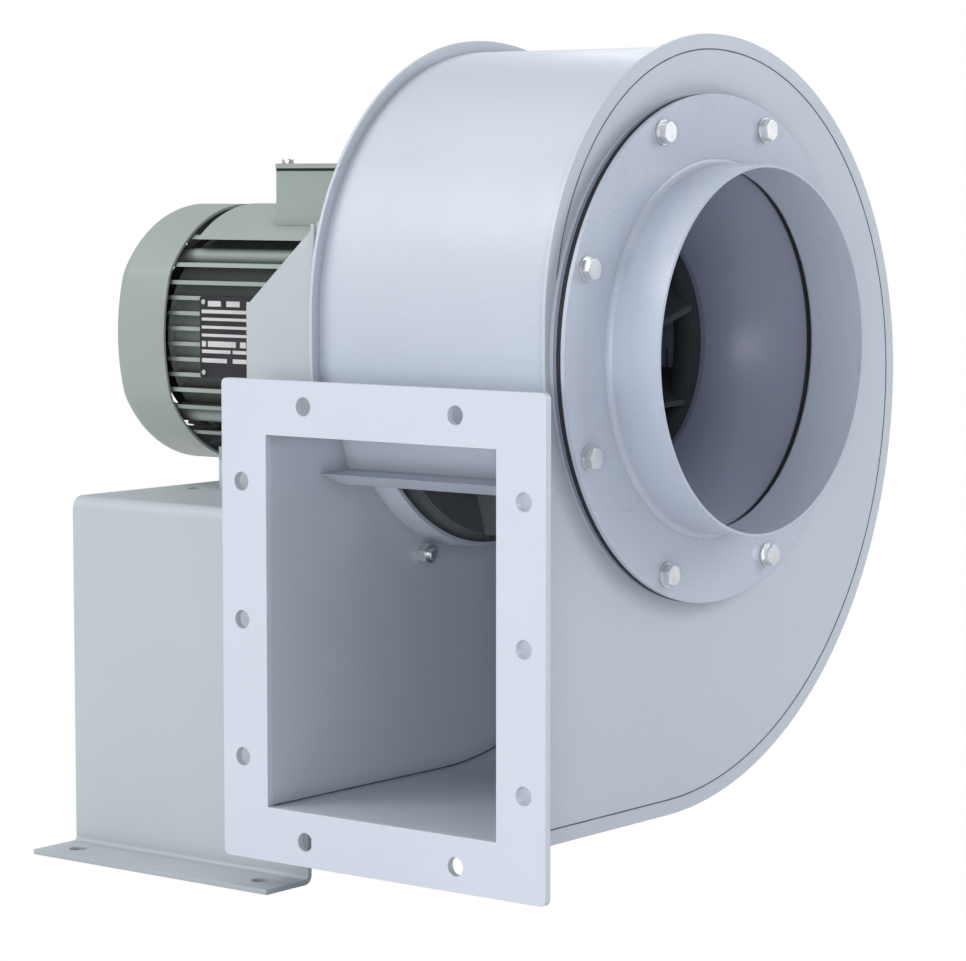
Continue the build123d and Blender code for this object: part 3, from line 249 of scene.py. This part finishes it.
housing = painted("housing_paint", (0.57, 0.615, 0.685), rough=0.36, mottle=0.02, peel=0.30, speck=0.12,
                  edge=0.05)
# A lit copy of the housing paint: lighter and bluer, painted light on the flange face.
lit_flange_paint = painted("lit_flange_paint", (0.64, 0.675, 0.755), rough=0.36, mottle=0.02, peel=0.16, speck=0.06,
                       edge=0.05)
ring_paint = painted("ring_paint", (0.54, 0.585, 0.68), rough=0.30, mottle=0.02, peel=0.12, speck=0.04,
                     edge=0.0, crevice_shade_amount=0.15)
# A shaded copy of the housing paint: darker, painted shade inside the inlet.
shaded_cone_paint = painted("shaded_cone_paint", (0.23, 0.25, 0.34), rough=0.36, mottle=0.05, peel=0.3, speck=0.12)
pedestal_paint = painted("pedestal_paint", (0.50, 0.55, 0.57), rough=0.40, mottle=0.02, peel=0.12, speck=0.05)
# Strong painted shade: near black in the crevices between the fins.
motor_paint = painted("motor_paint", (0.34, 0.39, 0.36), rough=0.42, mottle=0.06, peel=0.35, peel_scale=260.0,
                      crevice_shade_amount=0.75, crevice_shade_color=(0.02, 0.022, 0.022))
cowl_paint = painted("cowl_paint", (0.34, 0.385, 0.365), rough=0.34, mottle=0.03, peel=0.12)
wheel_paint = painted("wheel_paint", (0.10, 0.108, 0.115), rough=0.45, mottle=0.06, peel=0.2, crevice_shade_amount=0.5)
zinc = metal("zinc", (0.90, 0.91, 0.92), rough=0.34, crevice_shade_amount=0.3)
ground = metal("ground_steel", (0.60, 0.60, 0.60), rough=0.24, stretch=(1, 8, 8))
lamination = metal("lamination", (0.30, 0.30, 0.31), rough=0.45, stretch=(30, 1, 1))
cast_alloy = metal("cast_alloy", (0.70, 0.70, 0.71), rough=0.5, scratch=0.4)
rubber = dull("gasket_rubber", (0.018, 0.018, 0.021), rough=0.75)
felt = dull("felt", (0.30, 0.28, 0.25), rough=0.95, grain=1500.0, depth=0.9)
plastic = dull("fan_plastic", (0.05, 0.05, 0.055), rough=0.5)
winding = dull("winding", (0.42, 0.16, 0.06), rough=0.35, grain=900.0, depth=0.8)
plate_pale = dull("plate_pale", (0.62, 0.62, 0.60), rough=0.45, grain=900.0, depth=0.05, vary=0.08, crevice_shade_amount=0.1)
# Near-black strands that paint the shadow lines along the housing's joints.
painted_shadow_line = dull("painted_shadow_line", (0.11, 0.12, 0.13), rough=0.8)
plate_black = dull("plate_black", (0.020, 0.020, 0.026), rough=0.38, grain=900.0, depth=0.06)

finish_of = {
    "housing_paint": housing, "ring_paint": ring_paint, "pedestal_paint": pedestal_paint,
    "motor_paint": motor_paint, "cowl_paint": cowl_paint, "zinc": zinc, "gasket_rubber": rubber,
    "felt": felt, "wheel_paint": wheel_paint, "ground_steel": ground, "lamination": lamination,
    "cast_aluminium": cast_alloy, "winding": winding, "fan_plastic": plastic, "plate_black": plate_black,
}


def dress(name, material):
    data = nodes[name].data
    if data.materials:
        for i in range(len(data.materials)):
            data.materials[i] = material
    else:
        data.materials.append(material)


for node_name, slot_name in record_slots.items():
    dress(node_name, finish_of[slot_name])
# The flange and the inlet cone get the lit and shaded copies of the housing paint.
dress("outlet_flange", lit_flange_paint)
dress("inlet_cone", shaded_cone_paint)


# Weld beads, painted shadow lines along the housing joints, and the blank fields of the rating plate

def add_piece(name, verts, faces, material, smooth=True):
    """A mesh in millimetres round the shaft, riding on the fixed body."""
    data = bpy.data.meshes.new(name)
    data.from_pydata([tuple(c * MM for c in v) for v in verts], [], faces)
    data.update()
    for polygon in data.polygons:
        polygon.use_smooth = smooth
    data.materials.append(material)
    piece = bpy.data.objects.new(name, data)
    bpy.context.scene.collection.objects.link(piece)
    piece.location.z = SHAFT
    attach(piece, "root")
    return piece


def resample(points, step):
    """Even steps along a line of points."""
    line = [Vector(p) for p in points]
    even = [line[0]]
    rest = step
    for a, b in zip(line, line[1:]):
        length = (b - a).length
        while rest <= length:
            even.append(a + (b - a) * (rest / length))
            rest += step
        rest -= length
    even.append(line[-1])
    return even


def bead(name, points, radius, material, ripple=0.22, step=0.9, pitch=3.4, sides=8, seed=3):
    """A rounded strand along a line, whose width swells with every ripple: weld metal, and the painted shadow
    lines.
    """
    rng = random.Random(seed)
    path = resample(points, step)
    verts = []
    faces = []
    for i, p in enumerate(path):
        ahead = path[min(i + 1, len(path) - 1)] - path[max(i - 1, 0)]
        ahead.normalize()
        across = ahead.orthogonal() if abs(ahead.x) > 0.9 else ahead.cross(Vector((1, 0, 0)))
        across.normalize()
        third = ahead.cross(across)
        swell = 1 + ripple * (((i * step / pitch) % 1.0) - 0.5) + ripple * 0.4 * (rng.random() - 0.5)
        if i in (0, len(path) - 1):
            swell *= 0.4
        for k in range(sides):
            turn = 2 * pi * k / sides
            verts.append(p + (across * cos(turn) + third * sin(turn)) * radius * swell)
    for i in range(len(path) - 1):
        for k in range(sides):
            n = (k + 1) % sides
            faces.append((i * sides + k, i * sides + n, (i + 1) * sides + n, (i + 1) * sides + k))
    faces.append(tuple(range(sides))[::-1])
    faces.append(tuple((len(path) - 1) * sides + k for k in range(sides)))
    return add_piece(name, verts, faces, material)


# The spiral's arcs: centre, radius and the angles of both ends

SPIRAL = (((-36.5, -26.0), 276.0, -90, 0), ((13.0, -26.0), 226.5, 0, 90),
          ((13.0, 23.0), 177.5, 90, 180), ((0.0, 0.0), 164.5, 180, 197))


def spiral(x, offset):
    """Points on the housing's spiral at one place along the shaft."""
    points = [(x, SHEET_FRONT, SCROLL_FLOOR - offset)]
    for (y, z), radius, start, end in SPIRAL:
        for i in range(ARC_STEPS + 1):
            turn = radians(start + (end - start) * i / ARC_STEPS)
            points.append((x, y + (radius + offset) * cos(turn), z + (radius + offset) * sin(turn)))
    return points


# A thin dark strand laid along a joint: a painted shadow line.
def shadow_line(name, points, radius):
    bead(name, points, radius, painted_shadow_line, ripple=0.1, step=SHADOW_LINE_STEP, sides=6)


def gusset_welds(side, label):
    """A bead along the gusset's foot and one up its edge, on the outer face."""
    y = side * GUSSET_FACE_Y
    foot = [(GUSSET_LEFT, y, PEDESTAL_SEAM_Z), (GUSSET_FOOT_RIGHT, y, PEDESTAL_SEAM_Z)]
    edge = [(MOUNTING_PLATE_FACE_X, y, z) for z in GUSSET_WELD_Z]
    bead("gusset_foot_weld_" + label, foot, 2.2, pedestal_paint, seed=5 + side)
    bead("gusset_plate_weld_" + label, edge, 2.0, pedestal_paint, seed=9 + side)


def flange_weld(label, points, seed):
    bead("flange_weld_" + label, points, FLANGE_WELD_RADIUS, housing, seed=seed)


floor_part = ARC_STEPS + 4
# Painted shadow lines where the side plates meet the wrapper, and along the floor inside.
shadow_line("inlet_side_shadow_line", spiral(HOUSING_RIGHT - 0.05, 0.3), SHADOW_LINE_RADIUS)
shadow_line("drive_side_shadow_line", spiral(DRIVE_SIDE_X + 0.05, 0.3), SHADOW_LINE_RADIUS)
shadow_line("floor_inner_shadow_line", spiral(DRIVE_INNER_X + 0.1, -0.1)[:floor_part], 0.7)
gusset_welds(-1, "front")
gusset_welds(1, "rear")
flange_weld("drive", [(107.0, FLANGE_LEG_END_Y, z) for z in FLANGE_WELD_Z], 17)
flange_weld("inlet", [(311.0, FLANGE_LEG_END_Y, z) for z in FLANGE_WELD_Z], 17)
flange_weld("roof", [(x, FLANGE_LEG_END_Y, ROOF_WELD_Z) for x in ROOF_WELD_X], 23)

# Blank fields of the rating plate: top, foot, and the left and right end of each field

FIELD_LEFT = -73.0
SECOND_COLUMN = (-25.5, 4.5)
PLATE_ROWS = [
    (26.3, 22.3, ((-66.8, -54.2), (-48.8, -36.0), (-29.3, -20.6), (-13.0, -1.0))),
    (19.9, 17.3, ((FIELD_LEFT, -29.4), SECOND_COLUMN)),
    (14.1, 12.0, ((FIELD_LEFT, -29.5), SECOND_COLUMN)),
    (8.3, 6.2, ((FIELD_LEFT, -29.5), SECOND_COLUMN)),
    (2.5, 0.4, ((FIELD_LEFT, -29.6), SECOND_COLUMN)),
    (-2.8, -6.9, ((FIELD_LEFT, -69.1), (-67.1, -39.9), (-35.9, -30.2), SECOND_COLUMN)),
    (-9.0, -11.5, ((FIELD_LEFT, -45.2), (-43.0, -29.7), SECOND_COLUMN)),
    (-15.2, -18.3, ((FIELD_LEFT, -48.7), (-43.0, -29.7), SECOND_COLUMN)),
]


def plate_fields():
    """Thin pale slabs on the face of the rating plate."""
    plate = nodes["nameplate"]
    face_y = min((plate.matrix_world @ Vector(c)).y for c in plate.bound_box) / MM
    verts = []
    faces = []
    for top, foot, spans in PLATE_ROWS:
        for left, right in spans:
            n = len(verts)
            for y in (face_y + FIELD_ROOT, face_y - FIELD_RISE):
                verts += [(left, y, foot), (right, y, foot), (right, y, top), (left, y, top)]
            faces += [(n + 4, n + 5, n + 6, n + 7), (n, n + 1, n + 5, n + 4), (n + 1, n + 2, n + 6, n + 5),
                      (n + 2, n + 3, n + 7, n + 6), (n + 3, n, n + 4, n + 7), (n + 3, n + 2, n + 1, n)]
    add_piece("nameplate_fields", verts, faces, plate_pale, smooth=False)


plate_fields()


# Floor, light and camera

def stage_material(name, color):
    """Pale ground that the camera sees as plain white paper."""
    material = bpy.data.materials.new(name)
    material.use_nodes = True
    tree = material.node_tree
    tree.nodes.clear()
    output = tree.nodes.new("ShaderNodeOutputMaterial")
    diffuse = make(tree, "ShaderNodeBsdfDiffuse")
    diffuse.inputs["Color"].default_value = (*color, 1.0)
    glow = make(tree, "ShaderNodeEmission")
    glow.inputs["Strength"].default_value = 1.0
    path = tree.nodes.new("ShaderNodeLightPath")
    blend = tree.nodes.new("ShaderNodeMixShader")
    tree.links.new(path.outputs["Is Camera Ray"], blend.inputs[0])
    tree.links.new(diffuse.outputs[0], blend.inputs[1])
    tree.links.new(glow.outputs[0], blend.inputs[2])
    tree.links.new(blend.outputs[0], output.inputs["Surface"])
    return material


floor_mesh = bpy.data.meshes.new("floor")
floor_mesh.from_pydata([(-6, -6, 0), (6, -6, 0), (6, 6, 0), (-6, 6, 0)], [], [(0, 1, 2, 3)])
floor = bpy.data.objects.new("floor", floor_mesh)
bpy.context.scene.collection.objects.link(floor)
floor.location.z = -0.0005
floor_mesh.materials.append(stage_material("floor_white", (0.80, 0.80, 0.80)))


def studio_world():
    """Soft light from all round, which the camera sees as plain white."""
    world = bpy.data.worlds.new("studio")
    bpy.context.scene.world = world
    world.use_nodes = True
    tree = world.node_tree
    tree.nodes.clear()
    output = tree.nodes.new("ShaderNodeOutputWorld")
    soft = make(tree, "ShaderNodeBackground", Color=(0.93, 0.96, 1.0, 1.0), Strength=0.52)
    white = make(tree, "ShaderNodeBackground", Color=(1.0, 1.0, 1.0, 1.0), Strength=1.0)
    rays = tree.nodes.new("ShaderNodeLightPath")
    choose = tree.nodes.new("ShaderNodeMixShader")
    tree.links.new(rays.outputs["Is Camera Ray"], choose.inputs[0])
    tree.links.new(soft.outputs[0], choose.inputs[1])
    tree.links.new(white.outputs[0], choose.inputs[2])
    tree.links.new(choose.outputs[0], output.inputs["Surface"])


def lamp(name, place, aim, size, power, color=(1.0, 1.0, 1.0)):
    data = bpy.data.lights.new(name, "AREA")
    data.shape = "RECTANGLE"
    data.size, data.size_y = size
    data.energy = power
    data.color = color
    lamp_object = bpy.data.objects.new(name, data)
    bpy.context.scene.collection.objects.link(lamp_object)
    lamp_object.location = place
    lamp_object.rotation_euler = (Vector(aim) - Vector(place)).to_track_quat("-Z", "Y").to_euler()


studio_world()
lamp("key", (-1.6, -2.4, 2.6), (0.05, 0.0, 0.3), (1.6, 1.6), 34.0, (1.0, 0.99, 0.97))
lamp("right", (1.45, 1.2, 1.1), (0.3, 0.2, 0.45), (0.9, 0.9), 10.0, (0.96, 0.97, 1.0))
lamp("front", (1.9, -2.8, 0.35), (0.2, 0.0, 0.28), (0.9, 0.9), 22.0, (0.96, 0.97, 1.0))
lamp("low", (0.5, -3.1, 0.3), (0.3, 0.0, 0.3), (0.8, 0.8), 14.0, (0.97, 0.97, 1.0))
lamp("top", (-0.7, -0.5, 3.0), (0.0, 0.0, 0.3), (1.4, 1.4), 16.0)
lamp("back", (-0.8, 2.4, 2.2), (0.1, 0.0, 0.3), (1.8, 1.2), 20.0)

camera_data = bpy.data.cameras.new("camera")
camera = bpy.data.objects.new("camera", camera_data)
bpy.context.scene.collection.objects.link(camera)
camera.location = CAMERA_PLACE
camera.rotation_euler = (radians(90 - CAMERA_DOWN), 0, radians(CAMERA_ROUND))
camera_data.sensor_width = SENSOR_WIDTH
camera_data.lens = FOCAL_LENGTH_PIXELS * SENSOR_WIDTH / PHOTO_WIDTH
camera_data.clip_start = 0.05
bpy.context.scene.camera = camera
bpy.context.scene.view_settings.view_transform = "Standard"
